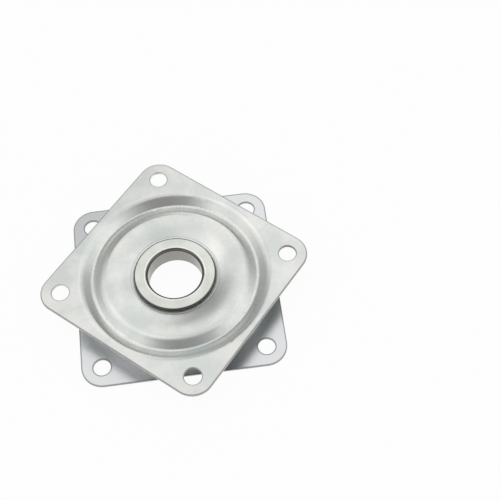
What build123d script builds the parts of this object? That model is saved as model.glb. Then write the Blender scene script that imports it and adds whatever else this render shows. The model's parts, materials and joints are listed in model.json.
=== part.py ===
# Square lazy susan bearing: two pressed steel plates that turn on a ring of loose balls,
# held together by a hollow eyelet through their dished centres.
# Millimetres. The lower plate rests on z = 0 and the turning axis is Z.
import os
from math import atan2, radians, tan

from build123d import *

os.makedirs("parts", exist_ok=True)

# Square plate
plate_side = 75.0
corner_radius = 8.0
sheet = 1.0
edge_roll = 0.3
hole_inset = 7.5
hole_diameter = 6.4
upper_plate_turn = -41.8

# Balls, and how far the races stand clear of them
ball_diameter = 7.5
ball_count = 17
ball_clearance = 0.08
race_slack = 0.25

# Pressed section of a plate, measured on its outer face from the rim inwards
rim_flat = 1.5
groove_edge_bend = 4.5
groove_outer_run = 3.9
groove_bend_depth = 2.7
groove_bend_radius = 1.4
race_wall_angle = 31.0
race_recess = 0.4
race_flat = 0.5
dish_shoulder = 3.6
seat_depth = 2.4
seat_bend = 2.0
seat_margin = 0.5

# Hollow eyelet
eyelet_bore = 20.0
eyelet_wall = 0.9
eyelet_flange_diameter = 30.4
eyelet_clench_diameter = 25.0
eyelet_inner_bend = 0.3
eyelet_rim_roll = 0.4
eyelet_hole_clearance = 0.1
eyelet_play = 1.2

# Heights that follow from the balls and the pressed section
race_gap = ball_diameter + 2 * ball_clearance
overall_height = race_gap + 2 * sheet + 2 * race_recess
ball_height = overall_height / 2

# Places that follow from the plate's side and the eyelet
hole_pitch = plate_side - 2 * hole_inset
land_radius = plate_side / 2 - rim_flat / 2
groove_outer_angle = atan2(groove_bend_depth, groove_outer_run)
groove_edge_radius = plate_side / 2 - rim_flat - groove_edge_bend * tan(groove_outer_angle / 2)
groove_bottom_radius = groove_edge_radius - groove_outer_run
seat_radius = eyelet_clench_diameter / 2 + seat_margin
eyelet_tube_radius = eyelet_bore / 2 + eyelet_wall
plate_hole_radius = eyelet_tube_radius + eyelet_inner_bend + eyelet_hole_clearance

# The race arc of the outer face stands one sheet outside the race that the balls run in.
# It turns the level crown down into the straight wall of the groove, which places the ball ring.
outer_race_radius = ball_diameter / 2 + race_slack + sheet
wall_angle = radians(race_wall_angle)
crown_radius = groove_bottom_radius - (groove_bend_depth - race_recess) / tan(wall_angle)
ball_ring_radius = crown_radius - outer_race_radius * tan(wall_angle / 2)

# Inside the level part of the crown a wide bend leads into the dish, which falls to the flat seat
dish_top_radius = ball_ring_radius - dish_shoulder
dish_angle = atan2(seat_depth - race_recess, dish_top_radius - seat_radius)
dish_bend = (dish_shoulder - race_flat) / tan(dish_angle / 2)

# Lower plate: a flat square blank whose middle is pressed into the race and the dish
with BuildPart() as lower_plate:
    with BuildSketch() as blank:
        RectangleRounded(plate_side, plate_side, corner_radius)
        with GridLocations(hole_pitch, hole_pitch, 2, 2):
            Circle(hole_diameter / 2, mode=Mode.SUBTRACT)
    extrude(amount=sheet)
    fillet(lower_plate.edges().group_by(Axis.Z)[0], radius=edge_roll)
    with BuildSketch() as middle:
        Circle(land_radius)
    extrude(amount=sheet, mode=Mode.SUBTRACT)
    with BuildSketch(Plane.XZ) as pressing:
        with BuildLine() as section:
            FilletPolyline(
                (land_radius, 0),
                (groove_edge_radius, 0),
                (groove_bottom_radius, groove_bend_depth),
                (crown_radius, race_recess),
                (dish_top_radius, race_recess),
                (seat_radius, seat_depth),
                (plate_hole_radius, seat_depth),
                radius=[groove_edge_bend, groove_bend_radius, outer_race_radius, dish_bend, seat_bend],
            )
            offset(amount=sheet, side=Side.RIGHT)
        make_face()
    revolve(axis=Axis.Z)
lower_plate.part.label = "lower_plate"
export_step(lower_plate.part, "parts/lower_plate.step")

# Upper plate: the same stamping, turned over so that its race faces the lower one
turned_over = Plane((0, 0, overall_height), x_dir=(1, 0, 0), z_dir=(0, 0, -1))
with BuildPart(turned_over.rotated((0, 0, upper_plate_turn))) as upper_plate:
    add(lower_plate.part)
upper_plate.part.label = "upper_plate"
export_step(upper_plate.part, "parts/upper_plate.step")

# Centre eyelet: a tube with a broad flange, which stands clear of the upper seat by the
# bearing's play, and a narrower rim clenched on the seat of the lower plate.
# The clenched rim's edges are rolled as far as its land beyond the tube's bend allows.
clench_height = seat_depth - eyelet_wall
flange_height = overall_height - seat_depth + eyelet_play + eyelet_wall
clench_land = eyelet_clench_diameter / 2 - eyelet_tube_radius - eyelet_inner_bend
clench_roll = min(eyelet_rim_roll, clench_land / 2)
with BuildPart() as center_eyelet:
    with BuildSketch(Plane.XZ) as eyelet_section:
        with BuildLine() as bore_side:
            FilletPolyline(
                (eyelet_clench_diameter / 2, clench_height),
                (eyelet_bore / 2, clench_height),
                (eyelet_bore / 2, flange_height),
                (eyelet_flange_diameter / 2, flange_height),
                radius=eyelet_inner_bend + eyelet_wall,
            )
            offset(amount=eyelet_wall, side=Side.RIGHT)
        make_face()
        fillet(eyelet_section.vertices().group_by(Axis.X)[-2], radius=clench_roll)
        fillet(eyelet_section.vertices().group_by(Axis.X)[-1], radius=eyelet_rim_roll)
    revolve(axis=Axis.Z)
center_eyelet.part.label = "center_eyelet"
export_step(center_eyelet.part, "parts/center_eyelet.step")

# Loose balls, evenly spread round the race
for index in range(ball_count):
    ball_name = f"ball_{index + 1:02d}"
    with BuildPart(Plane.XY.offset(ball_height)) as ball:
        with PolarLocations(ball_ring_radius, 1, start_angle=index * 360 / ball_count):
            Sphere(ball_diameter / 2)
    ball.part.label = ball_name
    export_step(ball.part, f"parts/{ball_name}.step")
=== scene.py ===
"""Dresses the lazy susan bearing: zinc plated plates and eyelet, greased steel balls, soft studio light."""
import json
from math import atan2, cos, radians, sin

import bpy
from mathutils import Matrix, Vector


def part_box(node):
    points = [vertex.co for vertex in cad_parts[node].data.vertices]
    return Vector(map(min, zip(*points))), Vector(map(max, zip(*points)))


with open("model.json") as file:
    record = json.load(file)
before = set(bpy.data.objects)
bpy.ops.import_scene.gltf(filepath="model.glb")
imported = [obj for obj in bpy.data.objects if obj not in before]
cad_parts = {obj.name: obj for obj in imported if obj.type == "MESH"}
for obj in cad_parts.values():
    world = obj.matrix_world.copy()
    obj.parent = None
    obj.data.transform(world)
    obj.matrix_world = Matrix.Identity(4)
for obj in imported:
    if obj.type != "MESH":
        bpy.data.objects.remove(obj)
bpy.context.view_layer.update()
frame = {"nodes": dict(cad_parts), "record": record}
nodes = frame["nodes"]
mounts = {mount["name"]: mount for mount in frame["record"]["mounts"]}

MM = 0.001

# Sizes of the bearing, read from the frame. Its first ball lies on the X axis, and the first hole of a plate
# that is not turned lies at 45 degrees.
UPPER_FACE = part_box("upper_plate")[1].z
PLATE_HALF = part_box("lower_plate")[1].x
EYELET_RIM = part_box("center_eyelet")[1].x
EYELET_BORE = mounts["center_bore"]["dims"]["r_mm"] * MM
BALL_RING = (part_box("ball_01")[0].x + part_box("ball_01")[1].x) / 2
HOLE_RADIUS = mounts["lower_screws"]["dims"]["hole_r_mm"] * MM
HOLE_SPREAD = mounts["lower_screws"]["dims"]["spacing_x_mm"] / 2 * MM
hole_x, hole_y = mounts["upper_hole_1"]["pos_m"][:2]
UPPER_TURN = atan2(hole_y, hole_x) - radians(45)

# The photograph's camera, fitted to the corner holes of both plates
VIEW_AZIMUTH = radians(-5.04)
VIEW_ELEVATION = radians(59.11)
VIEW_ROLL = radians(-2.79)
FOCAL_PIXELS = 1086.83
FRAME_PIXELS = 500
SENSOR_WIDTH = 36.0
CAMERA_DISTANCE = 400.875 * MM
LEFT_OF_CENTRE = 27.768 * MM
BELOW_CENTRE = 8.336 * MM
NEAREST_SEEN = 10 * MM

# Studio: brightness of the horizon beyond the object, of the horizon behind the camera, and overhead
HORIZON_LIGHT = 0.48
BEHIND_LIGHT = 0.90
OVERHEAD_LIGHT = 1.05

# Elevations where the horizon ends and overhead begins, and how squarely behind the camera a direction
# lies, from 0 to 1, where its horizon is as bright as that gets
HORIZON_TOP = radians(18)
OVERHEAD_START = radians(36)
WHOLLY_BEHIND = 0.6

# Soft boxes and flags: bearing from the camera's right, elevation, full radius and edge radius, all in
# degrees, and brightness
STUDIO_AREAS = (
    (150, 69, 13, 24, 1.30),
    (46, 63, 6, 16, 1.22),
    (352, 44, 8, 20, 1.15),
    (71, 10, 8, 15, 0.28),
    (80, 36, 9, 19, 1.16),
    (95, 74, 5, 16, 0.96),
    (88, 53, 4, 14, 1.20),
    (62, 82, 4, 11, 0.74),
    (138, 27, 8, 18, 0.50),
    (112, 41, 7, 17, 0.28),
    (276, 59, 15, 33, 0.30),
    (40, 33, 5, 14, 0.55),
    (57, 49, 4, 11, 0.70),
    (58, 22, 4, 10, 0.28),
    (122, 12, 4, 11, 0.34),
)

# Floor, in metres: it fades into the studio in the distance, so that low views have no hard horizon
FLOOR_HALF = 10.0
FLOOR_FADE_START = 1.0
FLOOR_FADE_END = 8.0
FLOOR_TONE = (0.9, 0.9, 0.9)
FLOOR_ROUGHNESS = 0.9
FLOOR_WHITE_SHARE = 0.95

# Finish of each plate. On the outer face pale and dull mix in clouds. The inner face, which looks up where
# inner_side is 1 and down where it is -1, is painted darker round a centre that lies to one side, as painted
# shade between the plates, and paler beyond it, as painted light. edge is the dark line along the outline,
# partly darker rolled metal and partly painted shade, and wall the sheared side. hole_edge and hole_wall are
# the same of a corner hole, whose wall takes a darker painted shade where the inner painted shade reaches
# it. turn is the plate's angle about the axis.
UPPER_FINISH = {
    "pale": (0.735, 0.739, 0.712),
    "dull": (0.655, 0.683, 0.664),
    # The two inner tones below are painted shade between the plates and painted light beyond it
    "shaded_inner": (0.325, 0.347, 0.347),
    "lit_inner": (0.94, 0.95, 0.95),
    "edge": (0.33, 0.33, 0.325),
    "wall": (0.57, 0.57, 0.56),
    "hole_edge": (0.50, 0.50, 0.49),
    "hole_wall": (0.88, 0.88, 0.87),
    # Painted shade on the wall of a hole that the inner painted shade reaches
    "shaded_hole_wall": (0.17, 0.175, 0.165),
    "shade_centre": (22 * MM, -16 * MM, 0),
    "inner_roughness": 0.46,
    "inner_side": -1.0,
    "turn": UPPER_TURN,
}
LOWER_FINISH = {
    "pale": (0.73, 0.74, 0.735),
    "dull": (0.69, 0.70, 0.69),
    # The two inner tones below are painted shade between the plates and painted light beyond it
    "shaded_inner": (0.595, 0.61, 0.617),
    "lit_inner": (0.735, 0.75, 0.76),
    "edge": (0.34, 0.34, 0.335),
    "wall": (0.40, 0.40, 0.395),
    "hole_edge": (0.29, 0.29, 0.285),
    "hole_wall": (0.30, 0.30, 0.295),
    # Painted shade on the wall of a hole that the inner painted shade reaches
    "shaded_hole_wall": (0.30, 0.30, 0.295),
    "shade_centre": (-10 * MM, 8 * MM, 0),
    "inner_roughness": 0.31,
    "inner_side": 1.0,
    "turn": 0.0,
}

# Noise: how many octaves clouds, grain and slow waves have, and the range over which clouds change a tone
CLOUD_DETAIL = 3
GRAIN_DETAIL = 2
WAVE_DETAIL = 1
CLOUD_RANGE = (0.3, 0.7)

# Zinc of the plates: patterns in spots per metre, relief that is too fine for the solids, and roughness
PLATE_CLOUDS = 90
PLATE_MOTTLE = 700
MOTTLE_SHARE = 0.35
MOTTLE_RANGE = (0.5, 0.85)
PLATE_WAVES = 110
WAVE_DEPTH = 0.03 * MM
WAVE_STRENGTH = 1.0
PLATE_GRAIN = 2500
GRAIN_DEPTH = 0.004 * MM
GRAIN_STRENGTH = 0.6
SATIN_ROUGHNESS = (0.23, 0.31)
MATT_ROUGHNESS = 0.5

# How far a plate's face looks inwards where it counts as the inner face, and how level it lies where it
# counts as a sheared side, from 0 to 1
INNER_FACE = (0.1, 0.4)
SHEARED_SIDE = (0.6, 0.3)

# Rounded corners of a plate, and the dark line along its outline and round its holes, partly rolled metal
# and partly painted shade on the rounded edge
CORNER_RADIUS = 8 * MM
EDGE_LINE = 0.6 * MM
EDGE_ROLL = 0.15 * MM

# Matt seat round the eyelet, painted lighter as painted light in the shade of the eyelet's flange, and a
# faint darker ring where it ends
SEAT_PAINTED_LIGHT_TONE = (0.84, 0.85, 0.84)
SEAT_END = EYELET_RIM + 1.3 * MM
SEAT_END_WIDTH = 0.25 * MM
SEAT_END_LINE_TONE = (0.42, 0.43, 0.43)
SEAT_END_LINE_SHARE = 0.7

# Painted shade between the plates on a plate's inner face, by distance from its middle
INNER_SHADE_FULL = 36 * MM
INNER_SHADE_END = 40 * MM

# Patchy grease in the race, by distance from the axis, carried outwards past the balls as painted shade
# between the plates
RACE_INNER = BALL_RING - 3.5 * MM
RACE_INNER_FADE = 2 * MM
RACE_OUTER = BALL_RING + 5.5 * MM
RACE_OUTER_FADE = 3 * MM
GREASE_PATCHES = 260
GREASE_RANGE = (0.2, 0.6)
GREASE_THINNEST = 0.55
GREASE_AND_SHADE_TONE = (0.16, 0.13, 0.095)
GREASE_ROUGHNESS = 0.14

# Eyelet: its zinc, a painted highlight on the lip of its bore, and painted shade on its bend, bore and outer
# edge
EYELET_PALE = (0.69, 0.712, 0.665)
EYELET_DULL = (0.64, 0.655, 0.61)
EYELET_CLOUDS = 160
EYELET_ROUGHNESS = (0.2, 0.28)
LIP_HIGHLIGHT_TONE = (0.84, 0.84, 0.80)
LIP_END = EYELET_BORE + 1.6 * MM
LIP_FADE = 0.3 * MM
BEND_SHADE_TONE = (0.15, 0.145, 0.135)
BEND_LEVEL = (0.997, 0.95)
BORE_SHADE_TONE = (0.31, 0.305, 0.29)
BORE_LEVEL = (0.4, 0.1)
RIM_SHADE_TONE = (0.10, 0.10, 0.095)
RIM_START = EYELET_RIM - 0.65 * MM
RIM_FADE = 0.35 * MM

# Rings that the forming left on the eyelet
FORMING_RINGS = 2200
RING_DEPTH = 0.004 * MM
RING_STRENGTH = 0.5

# Balls: bare steel and the film of grease on it, both painted darker as painted shade between the plates
BALL_SHADED_TONE = (0.42, 0.41, 0.39)
BALL_ROUGHNESS = 0.07
FILM_SHADED_TONE = (0.19, 0.16, 0.12)
FILM_ROUGHNESS = 0.2
FILM_PATCHES = 300
FILM_RANGE = (0.4, 0.62)


def make(tree, kind, inputs=(), **settings):
    """Adds a shader node and fills its inputs with values or with other nodes' outputs."""
    made = tree.nodes.new("ShaderNode" + kind)
    for name, value in settings.items():
        setattr(made, name, value)
    for key, value in dict(inputs).items():
        if isinstance(value, bpy.types.NodeSocket):
            tree.links.new(value, made.inputs[key])
        else:
            made.inputs[key].default_value = value
    return made


def ramp(tree, value, low, high, out_low=0.0, out_high=1.0):
    """A soft step from one value to another as the input goes from low to high."""
    inputs = {"Value": value, "From Min": low, "From Max": high, "To Min": out_low, "To Max": out_high}
    return make(tree, "MapRange", inputs, interpolation_type="SMOOTHSTEP").outputs["Result"]


def calc(tree, operation, first, second=0.0):
    """The result of one arithmetic node."""
    return make(tree, "Math", {0: first, 1: second}, operation=operation).outputs["Value"]


def times(tree, first, second):
    """The product of two values."""
    return calc(tree, "MULTIPLY", first, second)


def vector(tree, operation, first, second=(0, 0, 0)):
    """The vector result of one vector arithmetic node."""
    return make(tree, "VectorMath", {0: first, 1: second}, operation=operation).outputs["Vector"]


def dot(tree, first, second):
    """The dot product of two vectors."""
    return make(tree, "VectorMath", {0: first, 1: second}, operation="DOT_PRODUCT").outputs["Value"]


def length(tree, value):
    """The length of a vector."""
    return make(tree, "VectorMath", {0: value}, operation="LENGTH").outputs["Value"]


def height_of(tree, value):
    """The Z of a vector."""
    return make(tree, "SeparateXYZ", {"Vector": value}).outputs["Z"]


def flat(tree, place):
    """A place moved down to the frame's floor, so that only its X and Y are left."""
    return vector(tree, "MULTIPLY", place, (1, 1, 0))


def mix_value(tree, share, first, second):
    """A blend of two values. A Mix node takes plain values at its inputs 2 and 3."""
    return make(tree, "Mix", {"Factor": share, 2: first, 3: second}, data_type="FLOAT").outputs[0]


def rgba(tone):
    """What a colour socket takes for a tone, which may also be another node's output."""
    return tone if isinstance(tone, bpy.types.NodeSocket) else (*tone, 1)


def mix_colour(tree, share, first, second):
    """A blend of two tones. A Mix node takes colours at its inputs 6 and 7 and gives one at its output 2."""
    inputs = {"Factor": share, 6: rgba(first), 7: rgba(second)}
    return make(tree, "Mix", inputs, data_type="RGBA").outputs[2]


def mix_shader(tree, share, first, second):
    """A blend of two shaders."""
    return make(tree, "MixShader", {0: share, 1: first, 2: second}).outputs["Shader"]


def noise(tree, place, scale, detail):
    """Cloudy noise at a scale given in spots per metre."""
    return make(tree, "TexNoise", {"Vector": place, "Scale": scale, "Detail": detail}).outputs["Fac"]


def add_camera():
    """The camera stands where the photograph's stood, so the bearing lies left of the frame's middle."""
    forward = Vector((0, cos(VIEW_ELEVATION), -sin(VIEW_ELEVATION)))
    level_right = Vector((1, 0, 0))
    level_up = level_right.cross(forward)
    right = cos(VIEW_ROLL) * level_right + sin(VIEW_ROLL) * level_up
    up = cos(VIEW_ROLL) * level_up - sin(VIEW_ROLL) * level_right
    turn = Matrix.Rotation(VIEW_AZIMUTH, 3, "Z")
    right, up, forward = turn @ right, turn @ up, turn @ forward
    aim = Vector((0, 0, UPPER_FACE))
    place = aim + LEFT_OF_CENTRE * right + BELOW_CENTRE * up - CAMERA_DISTANCE * forward
    data = bpy.data.cameras.new("photo_camera")
    data.sensor_width = SENSOR_WIDTH
    data.lens = SENSOR_WIDTH * FOCAL_PIXELS / FRAME_PIXELS
    data.clip_start = NEAREST_SEEN
    camera = bpy.data.objects.new("photo_camera", data)
    bpy.context.scene.collection.objects.link(camera)
    basis = Matrix((right, up, -forward)).transposed().to_4x4()
    camera.matrix_world = Matrix.Translation(place) @ basis
    bpy.context.scene.camera = camera


def add_world():
    """A soft studio, pale overhead and dimmer towards the horizon, with soft boxes and flags."""
    world = bpy.data.worlds.new("studio")
    bpy.context.scene.world = world
    world.use_nodes = True
    tree = world.node_tree
    direction = make(tree, "TexCoord").outputs["Generated"]
    backwards = (sin(VIEW_AZIMUTH), -cos(VIEW_AZIMUTH), 0)
    behind = dot(tree, direction, backwards)
    horizon = ramp(tree, behind, 0.0, WHOLLY_BEHIND, HORIZON_LIGHT, BEHIND_LIGHT)
    height = height_of(tree, direction)
    light = ramp(tree, height, sin(HORIZON_TOP), sin(OVERHEAD_START), horizon, OVERHEAD_LIGHT)
    for bearing, elevation, full, edge, brightness in STUDIO_AREAS:
        turn = radians(bearing) + VIEW_AZIMUTH
        rise = radians(elevation)
        centre = (cos(turn) * cos(rise), sin(turn) * cos(rise), sin(rise))
        share = ramp(tree, dot(tree, direction, centre), cos(radians(edge)), cos(radians(full)))
        light = mix_value(tree, share, light, brightness)
    tree.links.new(light, tree.nodes["Background"].inputs["Strength"])
    tree.nodes["Background"].inputs["Color"].default_value = (1, 1, 1, 1)


def new_material(name):
    """A new material with its node tree and its principled shader."""
    material = bpy.data.materials.new(name)
    material.use_nodes = True
    tree = material.node_tree
    return material, tree, tree.nodes["Principled BSDF"]


def new_metal(name):
    """A new material, as above, whose shader is a bare metal."""
    material, tree, shader = new_material(name)
    shader.inputs["Metallic"].default_value = 1.0
    return material, tree, shader


def pale_floor():
    """White to the eye and in reflections, with a share of soft shadow, and clear in the distance."""
    material, tree, shader = new_material("pale_floor")
    shader.inputs["Base Color"].default_value = rgba(FLOOR_TONE)
    shader.inputs["Roughness"].default_value = FLOOR_ROUGHNESS
    shader.inputs["Specular IOR Level"].default_value = 0.0
    path = make(tree, "LightPath").outputs
    seen = calc(tree, "MAXIMUM", path["Is Camera Ray"], path["Is Glossy Ray"])
    seen = calc(tree, "MAXIMUM", seen, path["Is Transmission Ray"])
    white = make(tree, "Emission", {"Color": (1, 1, 1, 1), "Strength": 1.0}).outputs["Emission"]
    near = mix_shader(tree, times(tree, seen, FLOOR_WHITE_SHARE), shader.outputs["BSDF"], white)
    distance = length(tree, make(tree, "TexCoord").outputs["Object"])
    far = ramp(tree, distance, FLOOR_FADE_START, FLOOR_FADE_END)
    clear = make(tree, "BsdfTransparent").outputs["BSDF"]
    tree.links.new(mix_shader(tree, far, near, clear), tree.nodes["Material Output"].inputs["Surface"])
    return material


def add_floor():
    """One large square under the bearing."""
    half = FLOOR_HALF
    corners = [(-half, -half, 0), (half, -half, 0), (half, half, 0), (-half, half, 0)]
    mesh = bpy.data.meshes.new("floor")
    mesh.from_pydata(corners, [], [(0, 1, 2, 3)])
    mesh.materials.append(pale_floor())
    floor = bpy.data.objects.new("floor", mesh)
    bpy.context.scene.collection.objects.link(floor)


def surface(tree):
    """Position in the row's frame, distance from the axis, and how far the face looks up, from -1 to 1."""
    coords = make(tree, "TexCoord").outputs
    place = coords["Object"]
    return place, length(tree, flat(tree, place)), height_of(tree, coords["Normal"])


def edge_lines(tree, place, turn):
    """Thin lines along the outline and round the corner holes of a plate turned about the axis, where darker
    rolled metal and painted shade are laid.
    """
    turned_back = {"Vector": place, "Angle": -turn}
    squared = make(tree, "VectorRotate", turned_back, rotation_type="Z_AXIS").outputs["Vector"]
    folded = vector(tree, "ABSOLUTE", flat(tree, squared))
    straight = PLATE_HALF - CORNER_RADIUS
    past = vector(tree, "MAXIMUM", vector(tree, "SUBTRACT", folded, (straight, straight, 0)))
    outline = ramp(tree, length(tree, past), CORNER_RADIUS - EDGE_LINE, CORNER_RADIUS - EDGE_ROLL)
    from_hole = length(tree, vector(tree, "SUBTRACT", folded, (HOLE_SPREAD, HOLE_SPREAD, 0)))
    return outline, ramp(tree, from_hole, HOLE_RADIUS + EDGE_LINE, HOLE_RADIUS + EDGE_ROLL)


def race_grease_and_shade(tree, place, reach):
    """How thickly the race is greased, with its outer fade laid as painted shade between the plates."""
    from_inside = ramp(tree, reach, RACE_INNER, RACE_INNER + RACE_INNER_FADE)
    from_outside = ramp(tree, reach, RACE_OUTER + RACE_OUTER_FADE, RACE_OUTER)
    patches = noise(tree, place, GREASE_PATCHES, CLOUD_DETAIL)
    thickness = ramp(tree, patches, *GREASE_RANGE, GREASE_THINNEST, 1.0)
    return times(tree, times(tree, from_inside, from_outside), thickness)


def plate_relief(tree, place):
    """Slow waves of the pressed sheet with the fine grain of its plating, as a normal."""
    waves = noise(tree, place, PLATE_WAVES, WAVE_DETAIL)
    grain = noise(tree, place, PLATE_GRAIN, GRAIN_DETAIL)
    wavy = {"Height": waves, "Strength": WAVE_STRENGTH, "Distance": WAVE_DEPTH}
    grainy = {"Height": grain, "Strength": GRAIN_STRENGTH, "Distance": GRAIN_DEPTH}
    grainy["Normal"] = make(tree, "Bump", wavy).outputs["Normal"]
    return make(tree, "Bump", grainy).outputs["Normal"]


def zinc_plate(name, finish):
    """Satin zinc with cloudy gloss, dark edges partly painted as shade, painted light on the seat round the
    eyelet, painted shade and light on the inner face, and a greased race that fades outwards as painted
    shade.
    """
    material, tree, shader = new_metal(name)
    place, reach, upward = surface(tree)

    # Outer face: clouds, painted light on the matt seat round the eyelet, and a darker ring where the seat
    # ends
    clouds = noise(tree, place, PLATE_CLOUDS, CLOUD_DETAIL)
    spots = times(tree, noise(tree, place, PLATE_MOTTLE, GRAIN_DETAIL), MOTTLE_SHARE)
    mottle = ramp(tree, calc(tree, "ADD", clouds, spots), *MOTTLE_RANGE)
    tone = mix_colour(tree, mottle, finish["pale"], finish["dull"])
    # Painted light: the seat round the eyelet, in the flange's shade, is painted lighter
    matt_lit_seat = ramp(tree, reach, SEAT_END, SEAT_END - SEAT_END_WIDTH)
    tone = mix_colour(tree, matt_lit_seat, tone, SEAT_PAINTED_LIGHT_TONE)
    ring = ramp(tree, reach, SEAT_END + SEAT_END_WIDTH, SEAT_END)
    ring = times(tree, ring, calc(tree, "SUBTRACT", 1.0, matt_lit_seat))
    tone = mix_colour(tree, times(tree, ring, SEAT_END_LINE_SHARE), tone, SEAT_END_LINE_TONE)

    # Inner face: painted shade between the plates that lies to one side, and painted light beyond it
    inner = ramp(tree, times(tree, upward, finish["inner_side"]), *INNER_FACE)
    from_shade_centre = length(tree, vector(tree, "SUBTRACT", flat(tree, place), finish["shade_centre"]))
    past_inner_shade = ramp(tree, from_shade_centre, INNER_SHADE_FULL, INNER_SHADE_END)
    shade_film = mix_colour(tree, past_inner_shade, finish["shaded_inner"], finish["lit_inner"])
    tone = mix_colour(tree, inner, tone, shade_film)

    # Edges: dark lines along the outline and the holes, partly darker rolled metal and partly painted shade,
    # the sheared sides, and painted shade in a hole wall that the inner painted shade reaches
    outline, hole_rim = edge_lines(tree, place, finish["turn"])
    side = ramp(tree, calc(tree, "ABSOLUTE", upward), *SHEARED_SIDE)
    in_hole = mix_colour(tree, past_inner_shade, finish["shaded_hole_wall"], finish["hole_wall"])
    tone = mix_colour(tree, outline, tone, finish["edge"])
    tone = mix_colour(tree, hole_rim, tone, finish["hole_edge"])
    tone = mix_colour(tree, side, tone, mix_colour(tree, hole_rim, finish["wall"], in_hole))
    sheared = calc(tree, "MAXIMUM", outline, calc(tree, "SUBTRACT", side, hole_rim))

    # Grease on the inner face of the race, and painted shade between the plates where it fades outwards
    grease_and_shade = times(tree, race_grease_and_shade(tree, place, reach), inner)
    tone = mix_colour(tree, grease_and_shade, tone, GREASE_AND_SHADE_TONE)
    tree.links.new(tone, shader.inputs["Base Color"])

    # Roughness of the same areas, and relief
    roughness = ramp(tree, clouds, *CLOUD_RANGE, *SATIN_ROUGHNESS)
    roughness = mix_value(tree, matt_lit_seat, roughness, MATT_ROUGHNESS)
    roughness = mix_value(tree, inner, roughness, finish["inner_roughness"])
    roughness = mix_value(tree, sheared, roughness, MATT_ROUGHNESS)
    roughness = mix_value(tree, grease_and_shade, roughness, GREASE_ROUGHNESS)
    tree.links.new(roughness, shader.inputs["Roughness"])
    tree.links.new(plate_relief(tree, place), shader.inputs["Normal"])
    return material


def eyelet_steel():
    """Warm zinc on the drawn eyelet, with faint rings from its forming, a painted highlight on its lip and
    painted shade on its bend, bore and outer edge.
    """
    material, tree, shader = new_metal("eyelet_zinc")
    place, reach, upward = surface(tree)
    level = calc(tree, "ABSOLUTE", upward)
    clouds = noise(tree, place, EYELET_CLOUDS, CLOUD_DETAIL)
    tone = mix_colour(tree, ramp(tree, clouds, *CLOUD_RANGE), EYELET_PALE, EYELET_DULL)
    # Painted highlight on the lip of the bore
    tone = mix_colour(tree, ramp(tree, reach, LIP_END, LIP_END - LIP_FADE), tone, LIP_HIGHLIGHT_TONE)
    # Painted shade on the bend into the bore
    tone = mix_colour(tree, ramp(tree, level, *BEND_LEVEL), tone, BEND_SHADE_TONE)
    # Painted shade on the wall of the bore
    tone = mix_colour(tree, ramp(tree, level, *BORE_LEVEL), tone, BORE_SHADE_TONE)
    # Painted shade on the flange's outer edge
    tone = mix_colour(tree, ramp(tree, reach, RIM_START, RIM_START + RIM_FADE), tone, RIM_SHADE_TONE)
    tree.links.new(tone, shader.inputs["Base Color"])
    roughness = ramp(tree, clouds, *CLOUD_RANGE, *EYELET_ROUGHNESS)
    tree.links.new(roughness, shader.inputs["Roughness"])
    section = make(tree, "CombineXYZ", {"X": reach, "Z": height_of(tree, place)}).outputs["Vector"]
    rings = noise(tree, section, FORMING_RINGS, GRAIN_DETAIL)
    bump = make(tree, "Bump", {"Height": rings, "Strength": RING_STRENGTH, "Distance": RING_DEPTH})
    tree.links.new(bump.outputs["Normal"], shader.inputs["Normal"])
    return material


def ball_steel():
    """Polished ball steel under a patchy brown greasy film, both painted darker as painted shade between the
    plates.
    """
    material, tree, shader = new_metal("greased_shaded_ball")
    place = make(tree, "TexCoord").outputs["Object"]
    shade_film = ramp(tree, noise(tree, place, FILM_PATCHES, CLOUD_DETAIL), *FILM_RANGE)
    # Steel and film tones are darkened as painted shade between the plates
    tree.links.new(mix_colour(tree, shade_film, BALL_SHADED_TONE, FILM_SHADED_TONE), shader.inputs["Base Color"])
    roughness = ramp(tree, shade_film, 0.0, 1.0, BALL_ROUGHNESS, FILM_ROUGHNESS)
    tree.links.new(roughness, shader.inputs["Roughness"])
    return material


def paint(node, material):
    """Gives a CAD node its one material."""
    slots = nodes[node].data.materials
    slots.clear()
    slots.append(material)


bpy.context.scene.view_settings.view_transform = "Standard"
add_camera()
add_world()
add_floor()
paint("upper_plate", zinc_plate("upper_zinc", UPPER_FINISH))
paint("lower_plate", zinc_plate("lower_zinc", LOWER_FINISH))
paint("center_eyelet", eyelet_steel())
steel = ball_steel()
for name in nodes:
    if name.startswith("ball_"):
        paint(name, steel)
